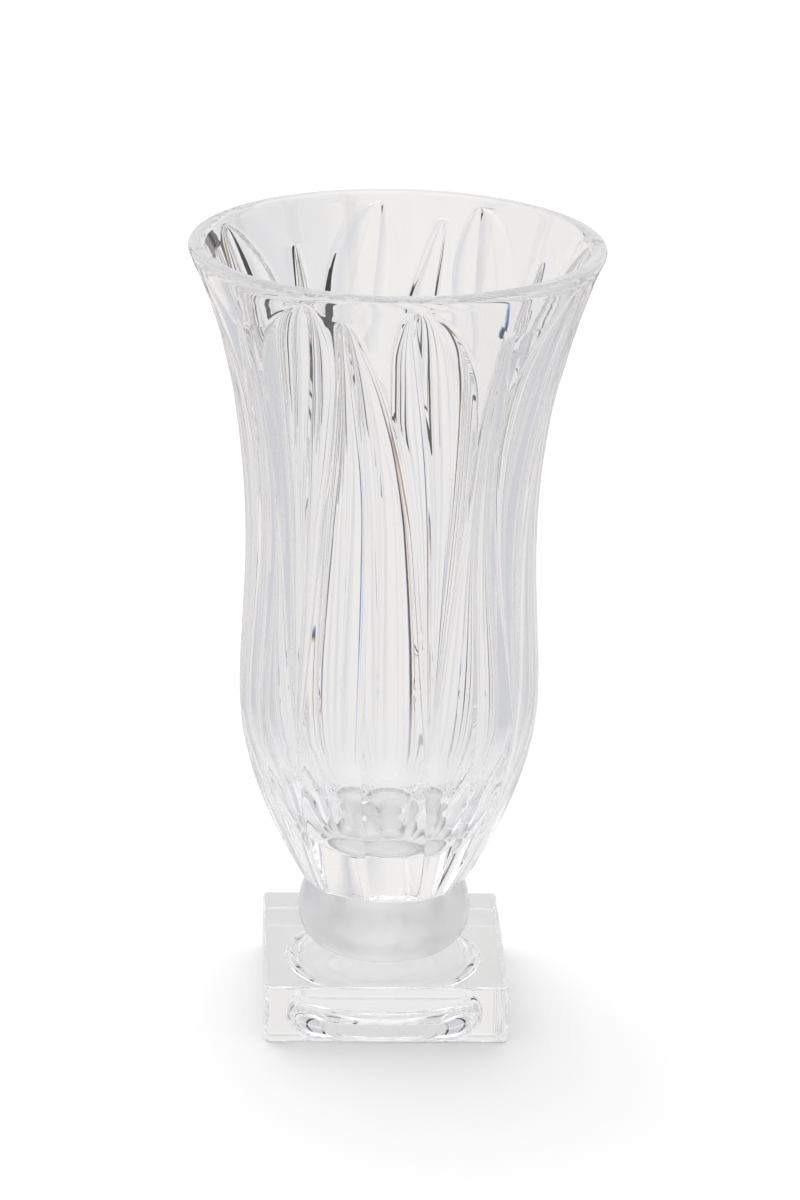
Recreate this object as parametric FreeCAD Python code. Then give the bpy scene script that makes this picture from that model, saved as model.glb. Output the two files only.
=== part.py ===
import FreeCAD, Part
import math
import os

# Cut crystal vase: a flared, footed vase in clear lead crystal, built on the bench from
# a cut bowl, a bun-shaped satin collar and a square plinth, joined by two films of clear
# optical adhesive.
#
# Frame: millimetres, +Z up, origin at the middle of the plinth's underside, the plinth's
# sides parallel to X and Y. Azimuths are measured from +X towards +Y.

# ---- driving dimensions -------------------------------------------------------------

TOTAL_HEIGHT = 305.0

PLINTH_SIDE = 93.2
PLINTH_HEIGHT = 23.0
PLINTH_CORNER_RADIUS = 2.4      # upright corners
PLINTH_TOP_EDGE_RADIUS = 1.2    # polished arris round the top and bottom faces
RECESS_RADIUS = 38.5            # rim of the round hollow ground under the plinth
RECESS_DEPTH = 8.0              # its ceiling is flat, with a quarter round down to the rim

FILM_THICKNESS = 0.2            # ultraviolet-cured adhesive, top and bottom of the collar

# Solid bun-shaped collar: a rounded underside, a bulging side that leans in, a wide flat top.
COLLAR_TOP = 51.3
COLLAR_RADIUS = 33.4            # round its widest place
COLLAR_WIDEST = 37.0            # height of that place
COLLAR_SHOULDER_RADIUS = 30.2
COLLAR_SHOULDER_SLOPE = -0.42   # dr/dz of the side just under the top
COLLAR_ROUNDING = 0.6
LOWER_BOND_RADIUS = 21.0        # polished flats that take the adhesive
UPPER_BOND_RADIUS = 29.6

BOWL_FOOT_RADIUS = 32.3         # before its edge is rolled
BOWL_FOOT_ROUNDING = 1.5

# Outer profile of the bowl before cutting: (height, radius, slope dr/dz) at its foot,
# belly, waist and lip, with a cubic between one station and the next.
BOWL_FOOT = COLLAR_TOP + FILM_THICKNESS
BELLY_HEIGHT = 132.0
BELLY_RADIUS = 58.8
WAIST_HEIGHT = 190.0
WAIST_RADIUS = 56.4
LIP_RADIUS = 79.1               # before its edges are rolled
FOOT_SLOPE = 0.58
LIP_SLOPE = 0.45
OUTER_PROFILE = [
    (BOWL_FOOT, BOWL_FOOT_RADIUS, FOOT_SLOPE),
    (BELLY_HEIGHT, BELLY_RADIUS, 0.0),
    (WAIST_HEIGHT, WAIST_RADIUS, 0.0),
    (TOTAL_HEIGHT, LIP_RADIUS, LIP_SLOPE),
]

# Inside of the bowl, the same way, from the top of its rounded floor to the lip.
FLOOR_HEIGHT = 71.0
FLOOR_FLATNESS = 27.0           # how far out the floor stays nearly level
FLOOR_EDGE = (97.0, 39.5, 0.66)
FLOOR_ROUNDING = 12.0           # how far below its edge the floor keeps the wall's slope
LIP_THICKNESS = 6.8
INNER_PROFILE = [
    FLOOR_EDGE,
    (BELLY_HEIGHT + 4.0, 49.4, 0.0),
    (WAIST_HEIGHT + 2.0, 47.8, 0.0),
    (TOTAL_HEIGHT, LIP_RADIUS - LIP_THICKNESS, LIP_SLOPE),
]
LIP_ROUNDING = 2.3              # of both its edges

# ---- the cutting pattern --------------------------------------------------------------

# Four identical quarters. Each has one broad spear on its own axis, one slender spear
# 45 degrees further round, and a leaf on each side of the broad spear. Azimuths inside a
# quarter are counted from the broad spear's axis.
QUARTERS = 4
QUARTER_TURN = 360.0 / QUARTERS
BROAD_SPEAR_AZIMUTH = -102.4
SLENDER_SPEAR_OFFSET = QUARTER_TURN / 2

# Each cut is a pair of shallow scooped facets that meet in a ridge. A station is its
# (height, first edge, ridge, second edge, drop): edges and ridge in degrees, and how many
# millimetres the ridge lies below the uncut surface.
BROAD_SPEAR = [
    (46.0, -34.5, 0.0, 34.5, 0.2),
    (66.0, -31.5, 0.0, 31.5, 0.5),
    (90.0, -27.6, 0.0, 27.6, 0.7),
    (118.0, -25.2, 0.0, 25.2, 0.8),
    (140.0, -23.2, 0.0, 23.2, 0.8),
    (170.0, -21.2, 0.0, 21.2, 0.8),
    (210.0, -17.8, 0.0, 17.6, 0.8),
    (232.0, -14.0, -0.9, 13.8, 0.8),
    (250.0, -11.3, -2.2, 9.9, 0.7),
    (266.0, -9.3, -3.2, 5.8, 0.5),
    (281.0, -7.6, -4.1, 1.4, 0.3),
    (294.0, -5.2, -5.0, -4.8, 0.02),
]
SLENDER_SPEAR = [
    (46.0, -10.5, 0.0, 10.5, 0.2),
    (66.0, -13.5, 0.0, 13.5, 0.4),
    (90.0, -17.4, 0.0, 17.4, 0.6),
    (118.0, -19.8, 0.0, 19.8, 0.7),
    (140.0, -16.8, 0.0, 16.8, 0.7),
    (165.0, -13.0, 0.0, 13.0, 0.7),
    (190.0, -9.4, 0.0, 9.4, 0.7),
    (216.0, -6.4, 0.0, 6.4, 0.7),
    (248.0, -4.2, 0.0, 4.2, 0.6),
    (272.0, -2.1, 0.0, 2.1, 0.3),
    (286.0, -0.2, 0.0, 0.2, 0.02),
]
LEAF = [
    (117.0, 25.0, 25.2, 25.4, 0.02),
    (135.0, 20.0, 25.7, 30.0, 0.3),
    (158.0, 20.0, 25.9, 33.0, 0.6),
    (184.0, 18.0, 25.8, 37.0, 0.8),
    (212.0, 14.0, 25.0, 40.0, 0.9),
    (238.0, 10.5, 22.9, 39.9, 0.9),
    (260.0, 8.9, 19.7, 38.0, 0.8),
    (277.0, 8.9, 17.3, 33.6, 0.6),
    (290.0, 10.6, 15.9, 27.0, 0.3),
    (299.5, 14.8, 15.0, 15.2, 0.02),
]
# Scoop of a facet at its middle, below the straight line across it: a share of its width
# where it is narrow, and never more than the deepest scoop. It runs shallow towards the foot.
SCOOP_SHARE = 0.3
DEEPEST_SCOOP = 0.9
FULL_SCOOP_HEIGHT = 74.0
SCOOP_AT_FOOT = 0.2
FACET_OVERRUN = 1.25            # how far a facet is carried past the uncut surface
WHEEL_REACH = 1.35              # outer side of a cutter, as a share of the bowl's radius
WEDGE_MARGIN = 40.0             # how far the wedge that takes out a quarter reaches past the bowl

LEVEL_WITHIN = 0.01             # an edge lies on a level if it keeps this close to it
SHORTEST_RIM = 1.0              # anything shorter isn't an edge of the lip or the foot


# ---- profiles -------------------------------------------------------------------------

def hermite_edge(low, high):
    """Cubic edge in the XZ plane between two (height, radius, slope) stations."""
    third = (high[0] - low[0]) / 3
    poles = [
        FreeCAD.Vector(low[1], 0, low[0]),
        FreeCAD.Vector(low[1] + low[2] * third, 0, low[0] + third),
        FreeCAD.Vector(high[1] - high[2] * third, 0, high[0] - third),
        FreeCAD.Vector(high[1], 0, high[0]),
    ]
    curve = Part.BezierCurve()
    curve.setPoles(poles)
    return curve.toShape()


def profile_edges(stations):
    return [hermite_edge(low, high) for low, high in zip(stations, stations[1:])]


def radius_at(height, stations):
    """Radius of a profile at a height, from the same cubics as hermite_edge."""
    for low, high in zip(stations, stations[1:]):
        if height <= high[0]:
            break
    span = high[0] - low[0]
    t = (height - low[0]) / span
    start = low[1] * (2 * t ** 3 - 3 * t ** 2 + 1) + low[2] * span * (t ** 3 - 2 * t ** 2 + t)
    end = high[1] * (3 * t ** 2 - 2 * t ** 3) + high[2] * span * (t ** 3 - t ** 2)
    return start + end


def at(radius, height):
    return FreeCAD.Vector(radius, 0, height)


def revolve(edges):
    face = Part.Face(Part.Wire(edges))
    return face.revolve(FreeCAD.Vector(0, 0, 0), FreeCAD.Vector(0, 0, 1), 360)


def line(start, end):
    return Part.LineSegment(start, end).toShape()


# ---- bowl -------------------------------------------------------------------------------

def bowl_blank():
    """The uncut bowl: solid foot, thick wall, plain lip."""
    outer = profile_edges(OUTER_PROFILE)
    inner = profile_edges(INNER_PROFILE)
    lip_inner = at(INNER_PROFILE[-1][1], TOTAL_HEIGHT)
    lip_outer = at(LIP_RADIUS, TOTAL_HEIGHT)
    floor = Part.BezierCurve()
    floor.setPoles([at(0, FLOOR_HEIGHT), at(FLOOR_FLATNESS, FLOOR_HEIGHT),
                    at(FLOOR_EDGE[1] - FLOOR_ROUNDING * FLOOR_EDGE[2], FLOOR_EDGE[0] - FLOOR_ROUNDING),
                    at(FLOOR_EDGE[1], FLOOR_EDGE[0])])
    foot_centre = at(0, BOWL_FOOT)
    foot_edge = at(BOWL_FOOT_RADIUS, BOWL_FOOT)
    edges = [line(foot_centre, foot_edge)] + outer
    edges += [line(lip_outer, lip_inner)] + inner[::-1]
    edges += [floor.toShape(), line(at(0, FLOOR_HEIGHT), foot_centre)]
    return revolve(edges)


def polar(radius, azimuth, height):
    angle = math.radians(azimuth)
    return FreeCAD.Vector(radius * math.cos(angle), radius * math.sin(angle), height)


def scoop(width, height):
    fade = (height - BOWL_FOOT) / (FULL_SCOOP_HEIGHT - BOWL_FOOT)
    depth = DEEPEST_SCOOP * math.tanh(SCOOP_SHARE * width / DEEPEST_SCOOP)
    return depth * min(max(fade, SCOOP_AT_FOOT), 1)


def cutter_section(station):
    """Closed outline of a cutter at one height: two scooped facets that run out past the surface."""
    height, first, ridge, second, drop = station
    surface = radius_at(height, OUTER_PROFILE)
    crest = polar(surface - drop, ridge, height)
    sides, middles = [], []
    for edge in (first, second):
        rim = polar(surface, edge, height)
        depth = scoop((rim - crest).Length, height)
        middle = (crest + rim) * 0.5 - polar(depth, (edge + ridge) / 2, 0)
        middles.append(middle)
        sides.append(middle + (rim - middle) * FACET_OVERRUN)
    outer = [polar(surface * WHEEL_REACH, edge, height) for edge in (first, second)]
    return Part.makePolygon([sides[0], middles[0], crest, middles[1], sides[1],
                             outer[1], outer[0], sides[0]])


def mirrored(stations):
    return [(height, -second, -ridge, -first, drop)
            for height, first, ridge, second, drop in stations]


def turned(solid, azimuth):
    copy = solid.copy()
    copy.rotate(FreeCAD.Vector(0, 0, 0), FreeCAD.Vector(0, 0, 1), azimuth)
    return copy


def cutter(stations, azimuth=0.0):
    sections = [cutter_section(station) for station in stations]
    return turned(Part.makeLoft(sections, True, False), azimuth)


def round_ends(bowl):
    """Roll the two edges of the lip and the edge of the foot."""
    lip = [edge for edge in bowl.Edges
           if edge.BoundBox.ZMin > TOTAL_HEIGHT - LEVEL_WITHIN and edge.Length > SHORTEST_RIM]
    bowl = bowl.makeFillet(LIP_ROUNDING, lip)
    foot = [edge for edge in bowl.Edges
            if edge.BoundBox.ZMax < BOWL_FOOT + LEVEL_WITHIN and edge.Length > SHORTEST_RIM]
    return bowl.makeFillet(BOWL_FOOT_ROUNDING, foot)


def quarter_blank():
    """Quarter of the uncut bowl, with the broad spear's axis in its middle."""
    blank = turned(round_ends(bowl_blank()), 180)
    wedge = Part.makeCylinder(LIP_RADIUS + WEDGE_MARGIN, TOTAL_HEIGHT + WEDGE_MARGIN,
                              FreeCAD.Vector(0, 0, 0), FreeCAD.Vector(0, 0, 1), QUARTER_TURN)
    return blank.common(turned(wedge, -QUARTER_TURN / 2))


def cut_bowl():
    quarter = quarter_blank()
    tools = [
        cutter(BROAD_SPEAR),
        cutter(SLENDER_SPEAR, SLENDER_SPEAR_OFFSET),
        cutter(SLENDER_SPEAR, -SLENDER_SPEAR_OFFSET),
        cutter(LEAF),
        cutter(mirrored(LEAF)),
    ]
    for tool in tools:
        quarter = quarter.cut(tool)
    quarters = [turned(quarter, BROAD_SPEAR_AZIMUTH + number * QUARTER_TURN)
                for number in range(QUARTERS)]
    return quarters[0].fuse(quarters[1:]).removeSplitter()


# ---- collar, plinth and adhesive --------------------------------------------------------

def collar():
    """Solid bun between bowl and plinth, its side satin, its two flats polished."""
    bottom = PLINTH_HEIGHT + FILM_THICKNESS
    centre = at(LOWER_BOND_RADIUS, COLLAR_WIDEST)
    ellipse = Part.Ellipse(at(LOWER_BOND_RADIUS, 2 * COLLAR_WIDEST - bottom),
                           at(COLLAR_RADIUS, COLLAR_WIDEST), centre)
    underside = Part.ArcOfEllipse(ellipse, math.pi / 2, math.pi)
    shoulder = COLLAR_TOP - COLLAR_ROUNDING
    side = hermite_edge((COLLAR_WIDEST, COLLAR_RADIUS, 0.0),
                        (shoulder, COLLAR_SHOULDER_RADIUS, COLLAR_SHOULDER_SLOPE))
    corner = COLLAR_SHOULDER_RADIUS + COLLAR_SHOULDER_SLOPE * COLLAR_ROUNDING
    rounding = Part.BezierCurve()
    rounding.setPoles([at(COLLAR_SHOULDER_RADIUS, shoulder), at(corner, COLLAR_TOP),
                       at(UPPER_BOND_RADIUS, COLLAR_TOP)])
    return revolve([line(at(0, bottom), at(LOWER_BOND_RADIUS, bottom)), underside.toShape(), side,
                    rounding.toShape(), line(at(UPPER_BOND_RADIUS, COLLAR_TOP), at(0, COLLAR_TOP)),
                    line(at(0, COLLAR_TOP), at(0, bottom))])


def recess():
    """The round hollow under the plinth, carried down past the underside."""
    flat = RECESS_RADIUS - RECESS_DEPTH
    below = -RECESS_DEPTH
    turn = math.radians(45)
    quarter_round = Part.Arc(at(RECESS_RADIUS, 0),
                             at(flat + RECESS_DEPTH * math.cos(turn), RECESS_DEPTH * math.sin(turn)),
                             at(flat, RECESS_DEPTH))
    return revolve([line(at(0, below), at(RECESS_RADIUS, below)),
                    line(at(RECESS_RADIUS, below), at(RECESS_RADIUS, 0)), quarter_round.toShape(),
                    line(at(flat, RECESS_DEPTH), at(0, RECESS_DEPTH)),
                    line(at(0, RECESS_DEPTH), at(0, below))])


def plinth():
    """Thick square plinth with a shallow round hollow ground into its underside."""
    half = PLINTH_SIDE / 2
    block = Part.makeBox(PLINTH_SIDE, PLINTH_SIDE, PLINTH_HEIGHT,
                         FreeCAD.Vector(-half, -half, 0))
    upright = [edge for edge in block.Edges if edge.BoundBox.ZLength > PLINTH_HEIGHT / 2]
    block = block.makeFillet(PLINTH_CORNER_RADIUS, upright)
    level = [edge for edge in block.Edges if edge.BoundBox.ZLength < LEVEL_WITHIN]
    block = block.makeFillet(PLINTH_TOP_EDGE_RADIUS, level)
    return block.cut(recess())


def adhesive_film(radius, bottom):
    return Part.makeCylinder(radius, FILM_THICKNESS, FreeCAD.Vector(0, 0, bottom))


# ---- writing ------------------------------------------------------------------------------

def main():
    os.makedirs("parts", exist_ok=True)
    pieces = {
        "cut_bowl": cut_bowl(),
        "collar": collar(),
        "square_plinth": plinth(),
        "bowl_bond_film": adhesive_film(UPPER_BOND_RADIUS, COLLAR_TOP),
        "plinth_bond_film": adhesive_film(LOWER_BOND_RADIUS, PLINTH_HEIGHT),
    }
    for name, shape in pieces.items():
        shape.exportStep(f"parts/{name}.step")
        box = shape.BoundBox
        print(name, "valid", shape.isValid(), "solids", len(shape.Solids),
              "volume", round(shape.Volume / 1000, 2), "cm3",
              "z", round(box.ZMin, 2), round(box.ZMax, 2), "faces", len(shape.Faces))


main()
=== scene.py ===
import math

import bmesh
import bpy
import numpy as np
from mathutils import Matrix, Vector

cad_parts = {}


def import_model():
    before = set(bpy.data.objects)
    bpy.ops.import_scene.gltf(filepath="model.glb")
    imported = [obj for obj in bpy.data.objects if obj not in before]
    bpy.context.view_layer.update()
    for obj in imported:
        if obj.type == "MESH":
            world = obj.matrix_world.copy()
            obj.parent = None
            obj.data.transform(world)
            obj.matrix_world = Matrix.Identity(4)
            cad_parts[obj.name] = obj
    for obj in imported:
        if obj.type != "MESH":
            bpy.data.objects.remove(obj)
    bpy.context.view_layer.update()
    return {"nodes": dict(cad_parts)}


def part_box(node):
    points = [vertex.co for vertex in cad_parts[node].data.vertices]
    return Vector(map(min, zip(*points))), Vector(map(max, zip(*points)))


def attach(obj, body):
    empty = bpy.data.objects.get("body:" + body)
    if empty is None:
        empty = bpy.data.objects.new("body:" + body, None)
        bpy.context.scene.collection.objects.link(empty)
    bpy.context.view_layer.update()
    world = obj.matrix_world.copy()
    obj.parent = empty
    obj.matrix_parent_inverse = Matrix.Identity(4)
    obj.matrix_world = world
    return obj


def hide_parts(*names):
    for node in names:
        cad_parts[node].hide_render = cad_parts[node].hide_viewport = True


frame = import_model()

# A cut crystal vase in metres, in the frame of its CAD model: +Z up, origin at the middle
# of the plinth's underside. The glass pieces are rebuilt here as fine meshes with rounded
# arrises, on the same sizes and stations as the CAD pieces that they replace.

MM = 0.001
MERGE_DISTANCE = 2e-7           # metres
SAME_LEVEL = 1e-6               # metres
SHARP = 35.0                    # an edge that turns by more degrees than this is shaded sharp

# ---- sizes that come from the frame ------------------------------------------------------

BOWL_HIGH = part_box("cut_bowl")[1]
COLLAR_LOW, COLLAR_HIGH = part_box("collar")
PLINTH_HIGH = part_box("square_plinth")[1]
UPPER_FILM_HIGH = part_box("bowl_bond_film")[1]
LOWER_FILM_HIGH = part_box("plinth_bond_film")[1]

TOTAL_HEIGHT = BOWL_HIGH[2] / MM
FOOT = UPPER_FILM_HIGH[2] / MM
UPPER_BOND_RADIUS = round(UPPER_FILM_HIGH[0] / MM, 1)
LOWER_BOND_RADIUS = round(LOWER_FILM_HIGH[0] / MM, 1)
PLINTH_HALF = PLINTH_HIGH[0] / MM
PLINTH_TOP = PLINTH_HIGH[2] / MM
COLLAR_RADIUS = round(COLLAR_HIGH[0] / MM, 1)
COLLAR_BOTTOM = COLLAR_LOW[2] / MM
COLLAR_TOP = COLLAR_HIGH[2] / MM

# ---- collar and plinth, in millimetres --------------------------------------------------------

RECESS_RADIUS = 38.5            # the hollow under the plinth
RECESS_DEPTH = 8.0
RECESS_ROUNDING = 8.0           # how far in from its rim the hollow's edge is rounded
PLINTH_CORNER = 2.4
PLINTH_EDGE = 1.2
SUPPORT = 0.05                  # narrow strip that keeps a flat face's shading flat
SIDE_COLUMNS = 28
CORNER_COLUMNS = 9
EDGE_ROWS = 7
FLAT_ROWS = 8
RECESS_ROWS = 26
COLLAR_WIDEST = 37.0            # height of the widest place
COLLAR_SHOULDER = 30.2          # radius just under the top
COLLAR_SHOULDER_SLOPE = -0.42
COLLAR_ROUNDING = 0.6
COLLAR_COLUMNS = 180
COLLAR_ROWS = 30
COLLAR_EDGE_ROWS = 5

# ---- the bowl's profiles, in millimetres: (height, radius, slope dr/dz) --------------------

FOOT_RADIUS = 32.3
BELLY = (132.0, 58.8, 0.0)
WAIST = (190.0, 56.4, 0.0)
LIP_RADIUS = 79.1
LIP_SLOPE = 0.45
LIP_THICKNESS = 6.8
LIP_ROUNDING = 3.95             # how far down the outer wall the rolled lip begins
LIP_ROLL = 4.15                 # how far in it reaches over the top
INNER_LIP_ROUNDING = 1.7
FOOT_ROUNDING = 1.5
FOOT_ROLL = [(0.55, 0.30), (0.18, 0.62), (0.0, 1.0)]    # (rise, inset) as shares of it
OUTER_PROFILE = [
    (FOOT, FOOT_RADIUS, 0.58),
    BELLY,
    WAIST,
    (TOTAL_HEIGHT, LIP_RADIUS, LIP_SLOPE),
]
FLOOR_HEIGHT = 71.0             # the inside: its floor, and where floor and wall meet
FLOOR_FLATNESS = 27.0           # how far out the floor stays nearly level
FLOOR_ROUNDING = 12.0           # how far below its edge it keeps the wall's slope
FLOOR_EDGE = (97.0, 39.5, 0.66)
INNER_PROFILE = [
    FLOOR_EDGE,
    (BELLY[0] + 4.0, 49.4, 0.0),
    (WAIST[0] + 2.0, 47.8, 0.0),
    (TOTAL_HEIGHT, LIP_RADIUS - LIP_THICKNESS, LIP_SLOPE),
]

# ---- the cutting pattern ---------------------------------------------------------------------

QUARTERS = 4
BROAD_SPEAR_AZIMUTH = -102.4
SPEAR_SPACING = 45.0

# Every cut is a pair of scooped flutes with a ridge between them. A station is its height,
# first edge, ridge and second edge in degrees, and how far the ridge lies below the surface.
BROAD_SPEAR = [
    (46.0, -34.5, 0.0, 34.5, 0.2),
    (66.0, -31.5, 0.0, 31.5, 0.5),
    (90.0, -27.6, 0.0, 27.6, 0.7),
    (118.0, -25.2, 0.0, 25.2, 0.8),
    (140.0, -23.2, 0.0, 23.2, 0.8),
    (170.0, -21.2, 0.0, 21.2, 0.8),
    (210.0, -17.8, 0.0, 17.6, 0.8),
    (232.0, -14.0, -0.9, 13.8, 0.8),
    (250.0, -11.3, -2.2, 9.9, 0.7),
    (266.0, -9.3, -3.2, 5.8, 0.5),
    (281.0, -7.6, -4.1, 1.4, 0.3),
    (294.0, -5.0, -5.0, -5.0, 0.0),
]
SLENDER_SPEAR = [
    (46.0, -10.5, 0.0, 10.5, 0.2),
    (66.0, -13.5, 0.0, 13.5, 0.4),
    (90.0, -17.4, 0.0, 17.4, 0.6),
    (118.0, -19.8, 0.0, 19.8, 0.7),
    (140.0, -16.8, 0.0, 16.8, 0.7),
    (165.0, -13.0, 0.0, 13.0, 0.7),
    (190.0, -9.4, 0.0, 9.4, 0.7),
    (216.0, -6.4, 0.0, 6.4, 0.7),
    (248.0, -4.2, 0.0, 4.2, 0.6),
    (272.0, -2.1, 0.0, 2.1, 0.3),
    (286.0, 0.0, 0.0, 0.0, 0.0),
]
LEAF = [
    (117.0, 25.2, 25.2, 25.2, 0.0),
    (135.0, 20.0, 25.7, 30.0, 0.3),
    (158.0, 20.0, 25.9, 33.0, 0.6),
    (184.0, 18.0, 25.8, 37.0, 0.8),
    (212.0, 14.0, 25.0, 40.0, 0.9),
    (238.0, 10.5, 22.9, 39.9, 0.9),
    (260.0, 8.9, 19.7, 38.0, 0.8),
    (277.0, 8.9, 17.3, 33.6, 0.6),
    (290.0, 10.6, 15.9, 27.0, 0.3),
    (299.5, 15.0, 15.0, 15.0, 0.0),
]

# Scoop of each facet below the chord across it: a share of its width where it is narrow, and
# at most this many millimetres. Then the half width of the polished arris at its far edge.
SCOOP_SHARE = 0.3
SCOOPS = [1.0, 0.0, 0.7, 0.9, 0.0, 0.8]
ARRISES = [0.7, 0.5, 0.3, 0.5, 0.7]
AXIS_ARRIS = 0.3
SHARED_DROP = 0.25              # how far two neighbouring scoops lower the arris they share
FOOT_FADE = (46.0, 74.0, 0.2)   # the scoops run shallow towards the foot

# Columns of faces across each facet of an eighth of the bowl, from the broad spear's axis.
COLUMNS = [15, 4, 9, 12, 4, 11]
ROW_SPACING = 1.25
TIP_ROWS = 8                    # extra rows below each tip, at this step times 1, 4, 9 and on
TIP_ROW_STEP = 0.05
CLOSEST_ROWS = 0.04
LIP_ROWS = 12
LIP_TOP_ROWS = 2
INNER_LIP_ROWS = 8
WALL_ROWS = 66
FLOOR_ROWS = 22
LEAF_MIDDLE = 200.0             # a height between the leaf's two tips
LEAST_WIDTH = 1e-4              # degrees; a narrower facet isn't scooped
ARRIS_NEAR = 0.02               # a point nearer to an arris than this belongs to it

# ---- glass: noise scales in features for each metre, depths in millimetres -------------------

CRYSTAL_IOR = 1.545
CLEAR_TINT = (0.990, 0.991, 0.992, 1)
CORD_TINT = (0.972, 0.976, 0.980, 1)
CORD_SCALE = 25.0
CORD_DETAIL = 2.0
CUT_RIPPLE_SCALE = 150.0
CUT_RIPPLE_DEPTH = 0.010
RIPPLE_DETAIL = 1.0
WAVE_SCALE = 60.0               # plain polished faces wave more gently than cut ones
WAVE_DEPTH = 0.012
GRAIN_SCALE = 2500.0            # the collar's satin side
GRAIN_DEPTH = 0.004
GRAIN_DETAIL = 2.0
SATIN_ROUGHNESS = (0.28, 0.36)
SATIN_COAT = (0.8, 0.06)        # weight and roughness of the gloss over the satin
NOISE_LOW = 0.3                 # the noise texture hardly leaves this range
NOISE_HIGH = 0.7

# ---- studio ----------------------------------------------------------------------------------------

AIR_GAP = 0.0002                # between the plinth's polished underside and the floor
FLOOR_WHITE = 0.88              # share of light that the floor returns, seen directly
FLOOR_GLOW = 0.62               # the even part of the floor's light, seen in the glass
FLOOR_LIT = 0.20                # and the share of the light on it that it returns there
FLOOR_SIDE = 20.0
PLAIN_FLOOR = 0.12              # metres from the vase's axis where the floor's painted bands of light begin,
BANDED_FLOOR = 0.30             # and where they are full
LIGHT_FROM = (-0.22, 0.70, 0.68)    # behind the vase and above it
ROOM_LIGHT = [                  # light on the floor, from the far side to LIGHT_FROM
    (0.0, (0.78, 0.78, 0.78)),
    (0.5, (1.05, 1.05, 1.05)),
    (0.75, (1.4, 1.4, 1.4)),
    (1.0, (2.9, 2.9, 2.9)),
]
SKY = [                         # light in the glass, from the horizon up
    (0.0, (0.90, 0.89, 0.875)),
    (0.25, (0.90, 0.895, 0.89)),
    (0.55, (0.80, 0.81, 0.83)),
    (0.8, (0.95, 0.97, 1.0)),
    (0.86, (1.5, 1.53, 1.6)),
    (1.0, (1.8, 1.83, 1.9)),
]
WARM = (1.02, 0.995, 0.97)
COOL = (0.83, 0.835, 0.86)
GREY = (0.72, 0.725, 0.755)
# The next three are painted on the floor and seen only in the glass: blue and orange fringes that stand in
# for the glass's dispersion, and dark streaks that it shows as dark lines.
PAINTED_BLUE_FRINGE = (0.16, 0.30, 0.80)
PAINTED_ORANGE_FRINGE = (0.85, 0.50, 0.20)
PAINTED_DARK_STREAK = (0.02, 0.02, 0.025)
NEAR_TONE = (0.99, 0.985, 0.98)     # of the floor close to the vase
# Tones from -X to +X, over half the X share of the direction: soft upright bands of light in the air,
# and on the floor the same bands as painted light, with two painted dark streaks and painted blue and orange
# fringes that stand in for the glass's dispersion.
SKY_BANDS = [
    (0.0, GREY), (0.14, GREY), (0.18, WARM), (0.26, WARM), (0.29, GREY), (0.32, WARM),
    (0.40, WARM), (0.45, COOL), (0.52, WARM), (0.66, WARM), (0.70, GREY), (0.73, WARM),
    (0.80, WARM), (0.84, GREY), (1.0, GREY),
]
# Painted light on the floor, seen only in the glass: the room's bands, two painted dark streaks and their
# painted colour fringes.
FLOOR_PAINTED_LIGHT_BANDS = [
    (0.0, GREY), (0.14, GREY), (0.18, WARM), (0.274, WARM), (0.284, PAINTED_ORANGE_FRINGE), (0.291, PAINTED_DARK_STREAK),
    (0.300, PAINTED_DARK_STREAK), (0.307, PAINTED_BLUE_FRINGE), (0.316, WARM), (0.40, WARM), (0.45, COOL), (0.52, WARM),
    (0.674, WARM), (0.683, PAINTED_BLUE_FRINGE), (0.690, PAINTED_DARK_STREAK), (0.712, PAINTED_DARK_STREAK), (0.719, PAINTED_ORANGE_FRINGE), (0.728, WARM),
    (0.80, WARM), (0.84, GREY), (1.0, GREY),
]
CARD_DISTANCE = 1.3
FLOOR_CARD = [(-0.11, 0.62), (-0.17, 0.62), (-0.33, 1.3), (-0.20, 1.3)]     # its corners
FLOOR_CARD_HEIGHT = 0.001
BLACK_CARDS = [                 # azimuth in degrees; width, lowest and highest edge in metres
    (-155.0, 0.16, 0.0, 1.3),
    (-60.0, 0.16, 0.0, 1.3),
    (-20.0, 0.12, 0.0, 1.3),
    (25.0, 0.14, 0.0, 1.3),
    (118.0, 0.10, 0.0, 1.3),
    (165.0, 0.14, 0.0, 1.3),
]

# ---- camera and light paths ------------------------------------------------------------------

PLINTH_TURN = -2.355            # degrees that the plinth is turned in the camera's view
CAMERA_PLACE = (0, -1.7486, 0.7869)
CAMERA_PITCH = 19.62            # degrees down, to the right and clockwise
CAMERA_YAW = 0.119
CAMERA_ROLL = 1.237
SENSOR_HEIGHT = 36.0            # millimetres
FOCAL_LENGTH = 146.2
VIEW_REACH = 20
GLASS_BOUNCES = 32              # fewer leave the lip and the arrises black
CLEAR_BOUNCES = 16

# ---- small numeric helpers ---------------------------------------------------------------------

def hermite(height, stations):
    """Radius of a profile at each height, one cubic from one station to the next."""
    height = np.asarray(height, float)
    radius = np.zeros_like(height)
    for number, (low, high) in enumerate(zip(stations, stations[1:])):
        inside = height >= low[0] if number else np.ones_like(height, bool)
        span = high[0] - low[0]
        t = (height - low[0]) / span
        start = low[1] * (2 * t**3 - 3 * t**2 + 1) + low[2] * span * (t**3 - 2 * t**2 + t)
        end = high[1] * (3 * t**2 - 2 * t**3) + high[2] * span * (t**3 - t**2)
        radius = np.where(inside, start + end, radius)
    return radius


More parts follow.
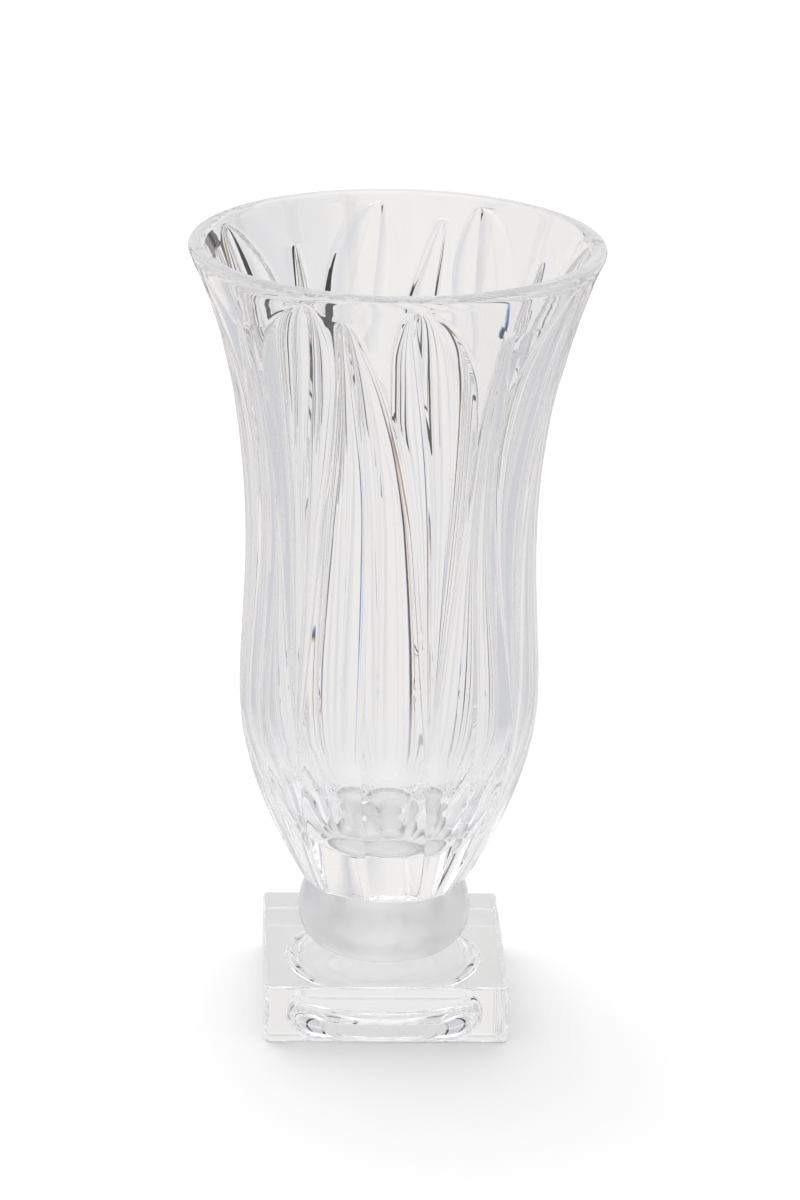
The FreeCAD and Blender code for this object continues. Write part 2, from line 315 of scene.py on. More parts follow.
def smooth_through(x, points_x, points_y):
    """Monotone cubic interpolation, so that a curve never swings past its stations."""
    px = np.asarray(points_x, float)
    py = np.asarray(points_y, float)
    step = np.diff(px)
    slope = np.diff(py) / step
    tangent = np.zeros_like(py)
    tangent[0], tangent[-1] = slope[0], slope[-1]
    same_way = slope[:-1] * slope[1:] > 0
    left, right = 2 * step[1:] + step[:-1], step[1:] + 2 * step[:-1]
    safe = np.where(same_way, slope[:-1], 1.0), np.where(same_way, slope[1:], 1.0)
    tangent[1:-1] = np.where(same_way, (left + right) / (left / safe[0] + right / safe[1]), 0)
    x = np.clip(x, px[0], px[-1])
    piece = np.clip(np.searchsorted(px, x, side="right") - 1, 0, len(step) - 1)
    t = (x - px[piece]) / step[piece]
    low = py[piece] * (2 * t**3 - 3 * t**2 + 1) + tangent[piece] * step[piece] * (t**3 - 2 * t**2 + t)
    high = py[piece + 1] * (3 * t**2 - 2 * t**3) + tangent[piece + 1] * step[piece] * (t**3 - t**2)
    return low + high


def along_cut(stations, heights):
    """Edges, bottom line and depth of a cut at each height, and where the cut is open.

    Heights are counted as the root of the distance below the tip, which gives a tip
    its rounded or pointed arch.
    """
    table = np.array(stations)[::-1]
    tip = table[0, 0]
    reach = np.sqrt(np.maximum(tip - heights, 0))
    columns = [smooth_through(reach, np.sqrt(tip - table[:, 0]), table[:, column])
               for column in range(1, 5)]
    inside = (heights < tip) & (heights > table[-1, 0])
    return columns, inside


def polar(radius, degrees):
    """X and Y of a radius and an azimuth."""
    angle = np.radians(degrees)
    return radius * np.cos(angle), radius * np.sin(angle)


def chord(degrees, first, second):
    """Radius at an azimuth of the straight line between two (radius, degrees) points."""
    ax, ay = polar(*first)
    bx, by = polar(*second)
    cos, sin = np.cos(np.radians(degrees)), np.sin(np.radians(degrees))
    cross = ax * by - ay * bx
    spread = cos * (by - ay) - sin * (bx - ax)
    return cross / np.where(np.abs(spread) < 1e-9, 1e-9, spread)


# ---- bowl --------------------------------------------------------------------------------------------

def outer_rows():
    """Heights of the rows of points, closer together below each tip of the pattern."""
    tips = [BROAD_SPEAR[-1][0], SLENDER_SPEAR[-1][0], LEAF[-1][0]]
    heights = list(np.arange(FOOT + FOOT_ROUNDING, TOTAL_HEIGHT - LIP_ROUNDING, ROW_SPACING))
    for tip in tips:
        heights += [tip - TIP_ROW_STEP * number**2 for number in range(TIP_ROWS)]
    heights = sorted(heights + [TOTAL_HEIGHT - LIP_ROUNDING])
    kept = [heights[0]]
    for height in heights[1:]:
        if height - kept[-1] > CLOSEST_ROWS:
            kept.append(height)
    return np.array(kept)


def eighth(heights, side):
    """Azimuths and radii of an eighth of the outer surface, one row for each height.

    side is 1 for the eighth after a broad spear's axis and -1 for the one before it,
    where azimuths are counted backwards.
    """
    top = TOTAL_HEIGHT - LIP_ROUNDING
    uncut = hermite(heights, OUTER_PROFILE)
    (first, ridge, second, broad_depth), broad_on = along_cut(BROAD_SPEAR, heights)
    (_, _, slender_half, slender_depth), slender_on = along_cut(SLENDER_SPEAR, heights)
    (leaf_in, leaf_line, leaf_out, leaf_depth), leaf_on = along_cut(LEAF, heights)
    broad_edge = second if side > 0 else -first
    tips = [side * BROAD_SPEAR[-1][2], SPEAR_SPACING, LEAF[-1][2]]
    axis = np.where(broad_on, side * ridge, tips[0])
    broad_edge = np.where(broad_on, broad_edge, tips[0])
    slender_edge = SPEAR_SPACING - np.where(slender_on, slender_half, 0)
    beyond = np.where(heights > LEAF_MIDDLE, tips[2], broad_edge)
    leaf_in, leaf_line, leaf_out = (np.where(leaf_on, line, beyond)
                                    for line in (leaf_in, leaf_line, leaf_out))
    drops = np.zeros((7, len(heights)))
    shared = np.clip(broad_edge - leaf_in, 0, 1)
    leaf_in = np.maximum(leaf_in, broad_edge)
    drops[1] = drops[2] = SHARED_DROP * shared
    shared = np.clip(leaf_out - slender_edge, 0, 1)
    leaf_out = np.minimum(leaf_out, slender_edge)
    drops[4] = drops[5] = SHARED_DROP * shared
    leaf_line = np.clip(leaf_line, leaf_in, leaf_out)
    drops[0] = np.where(broad_on, broad_depth, 0)
    drops[3] = np.where(leaf_on, np.maximum(leaf_depth, np.minimum(drops[2], drops[4])), 0)
    drops[6] = np.where(slender_on, slender_depth, 0)
    lines = np.array([axis, broad_edge, leaf_in, leaf_line, leaf_out, slender_edge,
                      np.full_like(axis, SPEAR_SPACING)])
    land = np.zeros_like(leaf_on)
    on = np.array([broad_on, land, leaf_on, leaf_on, land, slender_on])

    even = tips[0] + (SPEAR_SPACING - tips[0]) * np.cumsum([0] + COLUMNS) / sum(COLUMNS)
    for number, tip in ((1, BROAD_SPEAR[-1][0]), (2, LEAF[-1][0]), (3, LEAF[-1][0]),
                        (4, LEAF[-1][0]), (5, SLENDER_SPEAR[-1][0])):
        share = np.clip((heights - tip) / (top - tip), 0, 1)
        lines[number] += (even[number] - lines[number]) * share
    fade = np.clip((heights - FOOT_FADE[0]) / (FOOT_FADE[1] - FOOT_FADE[0]), FOOT_FADE[2], 1)
    rows = [eighth_row(uncut[row], lines[:, row], drops[:, row], on[:, row], fade[row])
            for row in range(len(heights))]
    return np.array([row[0] for row in rows]), np.array([row[1] for row in rows])


def eighth_row(radius, lines, drops, on, fade):
    """One row: azimuths of the columns and the radius at each."""
    azimuths, radii = [lines[:1]], [np.array([radius - drops[0]])]
    for number, count in enumerate(COLUMNS):
        low, high = lines[number], lines[number + 1]
        t = (1 - np.cos(math.pi * np.linspace(0, 1, count + 1))) / 2
        degrees = low + (high - low) * t
        if on[number] and high - low > LEAST_WIDTH:
            line = chord(degrees, (radius - drops[number], low), (radius - drops[number + 1], high))
            width = math.radians(high - low) * radius
            scoop = SCOOPS[number] * math.tanh(SCOOP_SHARE * width / SCOOPS[number])
            line = line - 4 * scoop * fade * t * (1 - t)
        else:
            line = radius - drops[number] + (drops[number] - drops[number + 1]) * t
        azimuths.append(degrees[1:])
        radii.append(line[1:])
    degrees, line = np.concatenate(azimuths), np.concatenate(radii)
    for corner, half_width in zip(np.cumsum(COLUMNS)[:-1], ARRISES):
        line = rolled(degrees, line, corner, radius, half_width)
    last = len(line) - 1
    line = rolled(np.concatenate([2 * degrees[0] - degrees[:0:-1], degrees]),
                  np.concatenate([line[:0:-1], line]), last, radius, AXIS_ARRIS)[last:]
    line = rolled(np.concatenate([degrees, 2 * degrees[-1] - degrees[-2::-1]]),
                  np.concatenate([line, line[-2::-1]]), last, radius, AXIS_ARRIS)[:last + 1]
    return degrees, line


def rolled(degrees, line, corner, radius, half_width):
    """Rounds one arris: the corner is blended over its half width to each side."""
    distance = np.radians(degrees - degrees[corner]) * radius
    before = np.flatnonzero(distance < -ARRIS_NEAR)
    after = np.flatnonzero(distance > ARRIS_NEAR)
    if not len(before) or not len(after):
        return line
    left = (line[corner] - line[before[-1]]) / -distance[before[-1]]
    right = (line[after[0]] - line[corner]) / distance[after[0]]
    turn = left - right
    if turn <= 0:
        return line
    blend = np.maximum(half_width - np.abs(distance), 0)
    return line - turn * blend**2 / (4 * half_width)


def outer_surface():
    """Points of the cut surface, shape (rows, columns, 3), millimetres."""
    heights = outer_rows()
    after_azimuth, after_radius = eighth(heights, 1)
    before_azimuth, before_radius = eighth(heights, -1)
    quarter_azimuth = np.hstack([-before_azimuth[:, ::-1], after_azimuth[:, 1:]])
    quarter_radius = np.hstack([before_radius[:, ::-1], after_radius[:, 1:]])
    rings = []
    for quarter in range(QUARTERS):
        turn = BROAD_SPEAR_AZIMUTH + quarter * 360.0 / QUARTERS
        x, y = polar(quarter_radius[:, :-1], quarter_azimuth[:, :-1] + turn)
        rings.append(np.stack([x, y, np.repeat(heights[:, None], x.shape[1], 1)], axis=2))
    return np.concatenate(rings, axis=1)


def bezier(points, count):
    """Points of a Bezier curve of any degree, without the first."""
    values = []
    degree = len(points) - 1
    for t in np.linspace(0, 1, count + 1)[1:]:
        weights = [math.comb(degree, k) * t**k * (1 - t)**(degree - k) for k in range(degree + 1)]
        values.append(sum(w * np.array(p, float) for w, p in zip(weights, points)))
    return values


def lip_and_inside():
    """(radius, height) of the rows from the top of the cut surface over the lip to the floor."""
    outer = float(hermite(TOTAL_HEIGHT - LIP_ROUNDING, OUTER_PROFILE))
    inside_start = TOTAL_HEIGHT - INNER_LIP_ROUNDING
    inner = float(hermite(inside_start, INNER_PROFILE))
    inside_top = LIP_RADIUS - LIP_THICKNESS
    rows = bezier([(outer, TOTAL_HEIGHT - LIP_ROUNDING), (LIP_RADIUS, TOTAL_HEIGHT),
                   (LIP_RADIUS - LIP_ROLL, TOTAL_HEIGHT)], LIP_ROWS)
    rows += bezier([(LIP_RADIUS - LIP_ROLL, TOTAL_HEIGHT),
                    (inside_top + INNER_LIP_ROUNDING, TOTAL_HEIGHT)], LIP_TOP_ROWS)
    rows += bezier([(inside_top + INNER_LIP_ROUNDING, TOTAL_HEIGHT), (inside_top, TOTAL_HEIGHT),
                    (inner, inside_start)], INNER_LIP_ROWS)
    heights = np.linspace(inside_start, FLOOR_EDGE[0], WALL_ROWS)[1:]
    rows += [(radius, height) for radius, height in zip(hermite(heights, INNER_PROFILE), heights)]
    rows += bezier([(FLOOR_EDGE[1], FLOOR_EDGE[0]),
                    (FLOOR_EDGE[1] - FLOOR_ROUNDING * FLOOR_EDGE[2], FLOOR_EDGE[0] - FLOOR_ROUNDING),
                    (FLOOR_FLATNESS, FLOOR_HEIGHT), (0.0, FLOOR_HEIGHT)], FLOOR_ROWS)
    return rows


def ring_of(radius, height, columns):
    """A plain ring at the azimuths of a row of the cut surface."""
    x, y = polar(radius, columns)
    return np.stack([x, y, np.full_like(x, height)], axis=1)


def bowl_mesh():
    """The cut surface, closed by the lip, the inside and a flat foot with a rolled edge."""
    grid = outer_surface()
    columns = np.degrees(np.arctan2(grid[-1, :, 1], grid[-1, :, 0]))
    lowest = grid[0]
    radius = np.hypot(lowest[:, 0], lowest[:, 1])
    foot = []
    for rise, inset in FOOT_ROLL:
        scale = (radius - FOOT_ROUNDING * inset) / radius
        foot.append(np.column_stack([lowest[:, :2] * scale[:, None],
                                     np.full(len(lowest), FOOT + FOOT_ROUNDING * rise)]))
    below = np.degrees(np.arctan2(lowest[:, 1], lowest[:, 0]))
    contact = np.column_stack([*polar(UPPER_BOND_RADIUS, below), np.full(len(below), FOOT)])
    centre = np.array([0.0, 0.0, FOOT])
    rows = [contact] + foot[::-1] + list(grid)
    rows += [ring_of(radius, height, columns) for radius, height in lip_and_inside()[:-1]]
    return solid_of_revolution(rows, centre, np.array([0.0, 0.0, FLOOR_HEIGHT]))


def solid_of_revolution(rows, low_centre, high_centre):
    """Vertices and faces of rings joined in order and closed at both ends by fans."""
    width = len(rows[0])
    points = np.concatenate([low_centre[None]] + rows + [high_centre[None]])
    faces = []
    for column in range(width):
        following = (column + 1) % width
        faces.append((0, 1 + following, 1 + column))
        for row in range(len(rows) - 1):
            base = 1 + row * width
            faces.append((base + column, base + following,
                          base + width + following, base + width + column))
        last = 1 + (len(rows) - 1) * width
        faces.append((last + column, last + following, len(points) - 1))
    return points, faces


# ---- collar and plinth ------------------------------------------------------------------------------

def collar_mesh():
    """Bun-shaped collar: an elliptical underside, a bulging side and a wide flat top."""
    columns = np.linspace(0, 360, COLLAR_COLUMNS, endpoint=False)
    profile = []
    for turn in np.linspace(0, math.pi / 2, COLLAR_ROWS):
        profile.append((LOWER_BOND_RADIUS + (COLLAR_RADIUS - LOWER_BOND_RADIUS) * math.sin(turn),
                        COLLAR_WIDEST - (COLLAR_WIDEST - COLLAR_BOTTOM) * math.cos(turn)))
    shoulder = COLLAR_TOP - COLLAR_ROUNDING
    side = [(COLLAR_WIDEST, COLLAR_RADIUS, 0.0), (shoulder, COLLAR_SHOULDER, COLLAR_SHOULDER_SLOPE)]
    heights = np.linspace(COLLAR_WIDEST, shoulder, COLLAR_ROWS)[1:]
    profile += list(zip(hermite(heights, side), heights))
    profile += bezier([(COLLAR_SHOULDER, shoulder),
                       (COLLAR_SHOULDER + COLLAR_SHOULDER_SLOPE * COLLAR_ROUNDING, COLLAR_TOP),
                       (UPPER_BOND_RADIUS, COLLAR_TOP)], COLLAR_EDGE_ROWS)
    rows = [ring_of(radius, height, columns) for radius, height in profile]
    return solid_of_revolution(rows, np.array([0.0, 0.0, COLLAR_BOTTOM]),
                               np.array([0.0, 0.0, COLLAR_TOP]))


def rounded_square(half, corner, height):
    """A level ring: four straight sides and four arcs, the same number of points each time."""
    points = []
    reach = half - corner
    for side in range(4):
        turn = side * math.pi / 2
        even = np.linspace(-reach, reach, SIDE_COLUMNS + 1)[1:-1]
        along = np.concatenate([[-reach + SUPPORT], even, [reach - SUPPORT]])
        outline = [(half, y) for y in along]
        outline += [(reach + corner * math.cos(a), reach + corner * math.sin(a))
                    for a in np.linspace(0, math.pi / 2, CORNER_COLUMNS)]
        for x, y in outline:
            points.append((x * math.cos(turn) - y * math.sin(turn),
                           x * math.sin(turn) + y * math.cos(turn), height))
    return np.array(points)


def plinth_mesh():
    """Square block with rounded edges, over a shallow hollow with a rounded edge."""
    outline = rounded_square(PLINTH_HALF, PLINTH_CORNER, 0.0)
    columns = np.degrees(np.arctan2(outline[:, 1], outline[:, 0]))
    rows = []
    flat = RECESS_RADIUS - RECESS_ROUNDING
    for share in np.linspace(0.1, 1, FLAT_ROWS):
        rows.append(ring_of(flat * share, RECESS_DEPTH, columns))
    for turn in np.linspace(0, math.pi / 2, RECESS_ROWS)[1:]:
        rows.append(ring_of(flat + RECESS_ROUNDING * math.sin(turn), RECESS_DEPTH * math.cos(turn),
                            columns))
    rounding = [(1 - math.sin(a), 1 - math.cos(a)) for a in np.linspace(0, math.pi / 2, EDGE_ROWS)]
    rows.append(ring_of(RECESS_RADIUS + SUPPORT, 0.0, columns))
    profile = [(PLINTH_EDGE + SUPPORT, 0.0)]
    profile += [(PLINTH_EDGE * inset, PLINTH_EDGE * rise) for inset, rise in rounding]
    profile += [(0.0, PLINTH_EDGE + SUPPORT)]
    profile += [(inset, PLINTH_TOP - rise) for inset, rise in profile[::-1]]
    for inset, height in profile:
        rows.append(rounded_square(PLINTH_HALF - inset, PLINTH_CORNER - inset, height))
    rows.append(ring_of(LOWER_BOND_RADIUS, PLINTH_TOP, columns))
    return solid_of_revolution(rows, np.array([0.0, 0.0, RECESS_DEPTH]),
                               np.array([0.0, 0.0, PLINTH_TOP]))


# ---- objects --------------------------------------------------------------------------------------------

def object_from(name, points, faces, materials, sharp_degrees, bonds):
    """A piece of glass. bonds are the (height, radius) of its flats that take adhesive."""
    mesh = bpy.data.meshes.new(name)
    mesh.from_pydata([tuple(point * MM) for point in points], [], faces)
    work = bmesh.new()
    work.from_mesh(mesh)
    bmesh.ops.remove_doubles(work, verts=work.verts, dist=MERGE_DISTANCE)
    bmesh.ops.recalc_face_normals(work, faces=work.faces)
    for face in work.faces:
        face.smooth = True
        middle = face.calc_center_median()
        for height, radius in bonds:
            if abs(middle.z - height * MM) < SAME_LEVEL and middle.xy.length < radius * MM:
                face.material_index = 1
    for edge in work.edges:
        if len(edge.link_faces) == 2 and edge.calc_face_angle(0) > math.radians(sharp_degrees):
            edge.smooth = False
    work.to_mesh(mesh)
    work.free()
    for material in materials:
        mesh.materials.append(material)
    item = bpy.data.objects.new(name, mesh)
    bpy.context.collection.objects.link(item)
    return item


# ---- materials --------------------------------------------------------------------------------------------

def noise(tree, scale, detail):
    """Noise over the object's own coordinates; scale is in features for each metre."""
    place = tree.nodes.new("ShaderNodeTexCoord")
    texture = tree.nodes.new("ShaderNodeTexNoise")
    texture.inputs["Scale"].default_value = scale
    texture.inputs["Detail"].default_value = detail
    tree.links.new(place.outputs["Object"], texture.inputs["Vector"])
    return texture.outputs["Fac"]


def between(tree, share, low, high):
    """A value that runs from low to high with the noise."""
    spread = tree.nodes.new("ShaderNodeMapRange")
    spread.inputs["From Min"].default_value = NOISE_LOW
    spread.inputs["From Max"].default_value = NOISE_HIGH
    spread.inputs["To Min"].default_value = low
    spread.inputs["To Max"].default_value = high
    tree.links.new(share, spread.inputs["Value"])
    return spread.outputs["Result"]


def bump(tree, height, depth, under=None):
    """A normal from a height, which is depth millimetres at most, over another normal."""
    node = tree.nodes.new("ShaderNodeBump")
    node.inputs["Strength"].default_value = 1.0
    node.inputs["Distance"].default_value = depth * MM
    tree.links.new(height, node.inputs["Height"])
    if under is not None:
        tree.links.new(under, node.inputs["Normal"])
    return node.outputs["Normal"]


def crystal(name, ripple_scale, ripple_depth):
    """Clear lead crystal: faint cords in its melt, and the ripple that its polish leaves."""
    material = bpy.data.materials.new(name)
    material.use_nodes = True
    tree = material.node_tree
    shader = tree.nodes["Principled BSDF"]
    tint = tree.nodes.new("ShaderNodeMix")
    tint.data_type = "RGBA"
    tint.inputs["A"].default_value = CLEAR_TINT
    tint.inputs["B"].default_value = CORD_TINT
    tree.links.new(between(tree, noise(tree, CORD_SCALE, CORD_DETAIL), 0.0, 1.0), tint.inputs["Factor"])
    tree.links.new(tint.outputs["Result"], shader.inputs["Base Color"])
    shader.inputs["Transmission Weight"].default_value = 1.0
    shader.inputs["IOR"].default_value = CRYSTAL_IOR
    shader.inputs["Roughness"].default_value = 0.0
    ripple = bump(tree, noise(tree, ripple_scale, RIPPLE_DETAIL), ripple_depth)
    tree.links.new(ripple, shader.inputs["Normal"])
    return material


def satin_crystal():
    """Crystal with a satin side: a fine even grain, and the soft gloss of an acid polish."""
    material = crystal("satin_crystal", WAVE_SCALE, WAVE_DEPTH)
    tree = material.node_tree
    shader = tree.nodes["Principled BSDF"]
    grain = noise(tree, GRAIN_SCALE, GRAIN_DETAIL)
    tree.links.new(between(tree, grain, *SATIN_ROUGHNESS), shader.inputs["Roughness"])
    wave = shader.inputs["Normal"].links[0].from_socket
    tree.links.new(bump(tree, grain, GRAIN_DEPTH, wave), shader.inputs["Normal"])
    shader.inputs["Coat Weight"].default_value = SATIN_COAT[0]
    shader.inputs["Coat Roughness"].default_value = SATIN_COAT[1]
    return material


def contact_material():
    """Where two pieces are wetted by adhesive there is nothing to see: light goes straight on."""
    material = bpy.data.materials.new("optical_contact")
    material.use_nodes = True
    tree = material.node_tree
    tree.nodes.clear()
    clear = tree.nodes.new("ShaderNodeBsdfTransparent")
    output = tree.nodes.new("ShaderNodeOutputMaterial")
    tree.links.new(clear.outputs[0], output.inputs["Surface"])
    return material


def main():
    contact = contact_material()
    glass = crystal("cut_crystal", CUT_RIPPLE_SCALE, CUT_RIPPLE_DEPTH)
    satin = satin_crystal()
    plain_glass = crystal("polished_crystal", WAVE_SCALE, WAVE_DEPTH)
    pieces = [
        ("cut_bowl", "crystal", bowl_mesh(), glass, [(FOOT, UPPER_BOND_RADIUS)]),
        ("collar", "crystal_collar", collar_mesh(), satin,
         [(COLLAR_BOTTOM, LOWER_BOND_RADIUS), (COLLAR_TOP, UPPER_BOND_RADIUS)]),
        ("square_plinth", "crystal_plinth", plinth_mesh(), plain_glass,
         [(PLINTH_TOP, LOWER_BOND_RADIUS)]),
    ]
    for node, slot, (points, faces), material, bonds in pieces:
        piece = object_from(f"{node}_glass", points, faces, [material, contact], SHARP, bonds)
        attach(piece, "root")
        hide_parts(node)
    for node in ("bowl_bond_film", "plinth_bond_film"):
        item = frame["nodes"][node]
        item.data.materials.clear()
        item.data.materials.append(contact)


# ---- studio --------------------------------------------------------------------------------------------

def black_material():
    """Gives back no light at all."""
    material = bpy.data.materials.new("card_black")
    material.use_nodes = True
    tree = material.node_tree
    tree.nodes.clear()
    light = tree.nodes.new("ShaderNodeEmission")
    light.inputs["Strength"].default_value = 0.0
    output = tree.nodes.new("ShaderNodeOutputMaterial")
    tree.links.new(light.outputs[0], output.inputs["Surface"])
    return material


def only_in_glass(item):
    """Part of the stage, which neither the camera nor the floor sees."""
    item.visible_camera = False
    item.visible_diffuse = False
    item.visible_shadow = False


def card(name, azimuth, distance, width, low, high, material):
    """An upright card facing the vase, seen only in the glass, for its dark and light bands."""
    x, y = polar(distance, azimuth)
    mesh = bpy.data.meshes.new(name)
    half = width / 2
    mesh.from_pydata([(-half, low, 0), (half, low, 0), (half, high, 0), (-half, high, 0)],
                     [], [(0, 1, 2, 3)])
    item = bpy.data.objects.new(name, mesh)
    bpy.context.collection.objects.link(item)
    item.location = (x, y, 0)
    item.rotation_euler = (math.pi / 2, 0, math.radians(azimuth - 90))
    mesh.materials.append(material)
    only_in_glass(item)


def math_node(tree, operation, first, second=None, clamp=False):
    """The result of an operation on values, each a number or another node's socket."""
    node = tree.nodes.new("ShaderNodeMath")
    node.operation = operation
    node.use_clamp = clamp
    for socket, value in zip(node.inputs, (first, second)):
        if isinstance(value, bpy.types.NodeSocket):
            tree.links.new(value, socket)
        elif value is not None:
            socket.default_value = value
    return node.outputs[0]


def side_light_bands(tree, direction, bands):
    """Cool and warm upright bands of the room's light, which the cuts turn into bands of their own: light in
    the world, painted light on the floor.
    """
    split = tree.nodes.new("ShaderNodeSeparateXYZ")
    tree.links.new(direction, split.inputs[0])
    share = math_node(tree, "MULTIPLY", split.outputs["X"], 0.5)
    return colour_ramp(tree, math_node(tree, "ADD", share, 0.5), bands)


def floor():
    """White floor. The glass sees a darker copy of it that glows a little greyer, with the room's light
    painted on it as bands.
    """
    white = bpy.data.materials.new("floor_white")
    white.use_nodes = True
    tree = white.node_tree
    tree.nodes.clear()
    direct = tree.nodes.new("ShaderNodeBsdfDiffuse")
    direct.inputs["Color"].default_value = (FLOOR_WHITE, FLOOR_WHITE, FLOOR_WHITE, 1)
    place = tree.nodes.new("ShaderNodeNewGeometry")
    outward = tree.nodes.new("ShaderNodeVectorMath")
    outward.operation = "NORMALIZE"
    tree.links.new(place.outputs["Position"], outward.inputs[0])
    away = tree.nodes.new("ShaderNodeMapRange")
    away.inputs["From Min"].default_value = PLAIN_FLOOR
    away.inputs["From Max"].default_value = BANDED_FLOOR
    length = tree.nodes.new("ShaderNodeVectorMath")
    length.operation = "LENGTH"
    tree.links.new(place.outputs["Position"], length.inputs[0])
    tree.links.new(length.outputs["Value"], away.inputs["Value"])
    # Painted light: the room's bands, dark streaks and colour fringes are painted on the floor by position,
    # plain close to the vase.
    fading = tree.nodes.new("ShaderNodeMix")
    fading.data_type = "RGBA"
    fading.inputs["A"].default_value = (*NEAR_TONE, 1)
    tree.links.new(away.outputs["Result"], fading.inputs["Factor"])
    tree.links.new(side_light_bands(tree, outward.outputs[0], FLOOR_PAINTED_LIGHT_BANDS), fading.inputs["B"])
    tone = fading.outputs["Result"]
    glow = tree.nodes.new("ShaderNodeEmission")
    glow.inputs["Strength"].default_value = FLOOR_GLOW
    tree.links.new(tone, glow.inputs["Color"])
    lit = tree.nodes.new("ShaderNodeBsdfDiffuse")
    dimmed = tree.nodes.new("ShaderNodeMix")
    dimmed.data_type = "RGBA"
    dimmed.blend_type = "MULTIPLY"
    dimmed.inputs["Factor"].default_value = 1.0
    dimmed.inputs["B"].default_value = (FLOOR_LIT, FLOOR_LIT, FLOOR_LIT, 1)
    tree.links.new(tone, dimmed.inputs["A"])
    tree.links.new(dimmed.outputs["Result"], lit.inputs["Color"])
    in_glass = tree.nodes.new("ShaderNodeAddShader")
    tree.links.new(glow.outputs[0], in_glass.inputs[0])
    tree.links.new(lit.outputs[0], in_glass.inputs[1])
    # The camera sees the white floor, the glass a painted, darker copy that glows with the painted bands.
    path = tree.nodes.new("ShaderNodeLightPath")
    mix = tree.nodes.new("ShaderNodeMixShader")
    tree.links.new(path.outputs["Is Camera Ray"], mix.inputs["Fac"])
    tree.links.new(in_glass.outputs[0], mix.inputs[1])
    tree.links.new(direct.outputs[0], mix.inputs[2])
    output = tree.nodes.new("ShaderNodeOutputMaterial")
    tree.links.new(mix.outputs[0], output.inputs["Surface"])
    bpy.ops.mesh.primitive_plane_add(size=FLOOR_SIDE, location=(0, 0, -AIR_GAP))
    plane = bpy.context.object
    plane.name = "floor"
    plane.data.materials.append(white)


def colour_ramp(tree, source, stops):
    ramp = tree.nodes.new("ShaderNodeValToRGB")
    tree.links.new(source, ramp.inputs["Fac"])
    elements = ramp.color_ramp.elements
    for number, (place, colour) in enumerate(stops):
        element = elements[number] if number < 2 else elements.new(place)
        element.position = place
        element.color = (*colour, 1)
    return ramp.outputs["Color"]


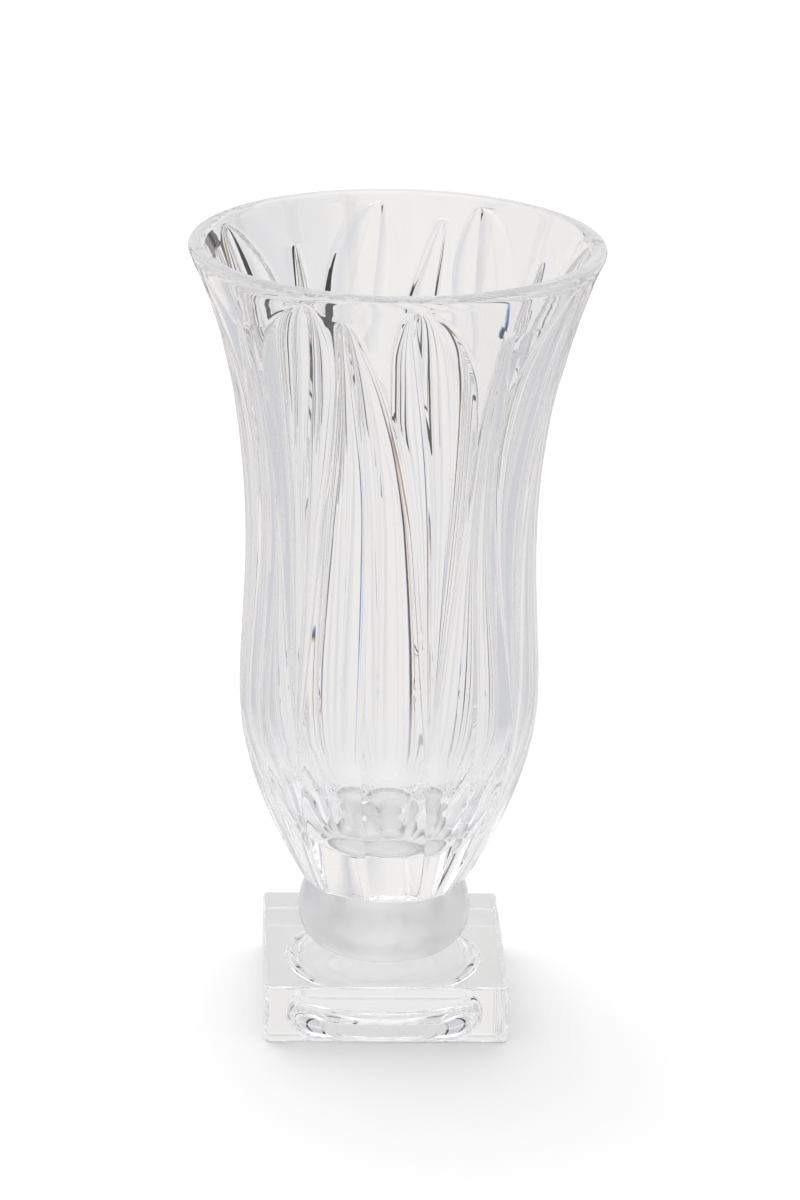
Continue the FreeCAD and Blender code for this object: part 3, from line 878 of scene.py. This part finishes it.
def world():
    """Soft white surroundings: one for the glass, and one that lights the floor."""
    studio = bpy.data.worlds.new("studio")
    bpy.context.scene.world = studio
    studio.use_nodes = True
    tree = studio.node_tree
    tree.nodes.clear()
    direction = tree.nodes.new("ShaderNodeTexCoord").outputs["Generated"]
    split = tree.nodes.new("ShaderNodeSeparateXYZ")
    tree.links.new(direction, split.inputs[0])
    tone = tree.nodes.new("ShaderNodeMix")
    tone.data_type = "RGBA"
    tone.blend_type = "MULTIPLY"
    tone.inputs["Factor"].default_value = 1.0
    tree.links.new(colour_ramp(tree, split.outputs["Z"], SKY), tone.inputs["A"])
    tree.links.new(side_light_bands(tree, direction, SKY_BANDS), tone.inputs["B"])
    towards = tree.nodes.new("ShaderNodeVectorMath")
    towards.operation = "DOT_PRODUCT"
    towards.inputs[1].default_value = Vector(LIGHT_FROM).normalized()
    tree.links.new(direction, towards.inputs[0])
    backgrounds = []
    for colour in (tone.outputs["Result"], colour_ramp(tree, towards.outputs["Value"], ROOM_LIGHT)):
        node = tree.nodes.new("ShaderNodeBackground")
        tree.links.new(colour, node.inputs["Color"])
        backgrounds.append(node.outputs[0])
    path = tree.nodes.new("ShaderNodeLightPath")
    white = tree.nodes.new("ShaderNodeBackground")
    white.inputs["Color"].default_value = (1, 1, 1, 1)
    lighting = tree.nodes.new("ShaderNodeMixShader")
    tree.links.new(math_node(tree, "MINIMUM", path.outputs["Diffuse Depth"], 1.0, True),
                   lighting.inputs["Fac"])
    tree.links.new(backgrounds[0], lighting.inputs[1])
    tree.links.new(backgrounds[1], lighting.inputs[2])
    mix = tree.nodes.new("ShaderNodeMixShader")
    tree.links.new(path.outputs["Is Camera Ray"], mix.inputs["Fac"])
    tree.links.new(lighting.outputs[0], mix.inputs[1])
    tree.links.new(white.outputs[0], mix.inputs[2])
    output = tree.nodes.new("ShaderNodeOutputWorld")
    tree.links.new(mix.outputs[0], output.inputs["Surface"])


def floor_card(name, corners, material):
    """A dark card lying on the floor well behind the vase, seen only in the glass."""
    mesh = bpy.data.meshes.new(name)
    mesh.from_pydata([(x, y, FLOOR_CARD_HEIGHT) for x, y in corners], [], [(0, 1, 2, 3)])
    item = bpy.data.objects.new(name, mesh)
    bpy.context.collection.objects.link(item)
    mesh.materials.append(material)
    only_in_glass(item)


def cards():
    black = black_material()
    for number, (azimuth, width, low, high) in enumerate(BLACK_CARDS):
        card(f"black_card_{number}", azimuth, CARD_DISTANCE, width, low, high, black)
    floor_card("black_floor_card", FLOOR_CARD, black)


def camera():
    """Stands at the viewpoint of the photograph, turned by the plinth's own small turn."""
    turn = Matrix.Rotation(math.radians(PLINTH_TURN), 4, "Z")
    data = bpy.data.cameras.new("camera")
    item = bpy.data.objects.new("camera", data)
    bpy.context.collection.objects.link(item)
    facing = (turn @ Matrix.Rotation(-math.radians(CAMERA_YAW), 4, "Z")
              @ Matrix.Rotation(math.radians(90 - CAMERA_PITCH), 4, "X")
              @ Matrix.Rotation(math.radians(CAMERA_ROLL), 4, "Z"))
    item.matrix_world = Matrix.Translation(turn @ Vector(CAMERA_PLACE)) @ facing
    data.sensor_fit = "VERTICAL"
    data.sensor_height = SENSOR_HEIGHT
    data.lens = FOCAL_LENGTH
    data.clip_end = VIEW_REACH
    bpy.context.scene.camera = item


main()
floor()
world()
cards()
camera()
bpy.context.scene.view_settings.view_transform = "Standard"
cycles = bpy.context.scene.cycles
cycles.max_bounces = GLASS_BOUNCES
cycles.glossy_bounces = GLASS_BOUNCES
cycles.transmission_bounces = GLASS_BOUNCES
cycles.transparent_max_bounces = CLEAR_BOUNCES
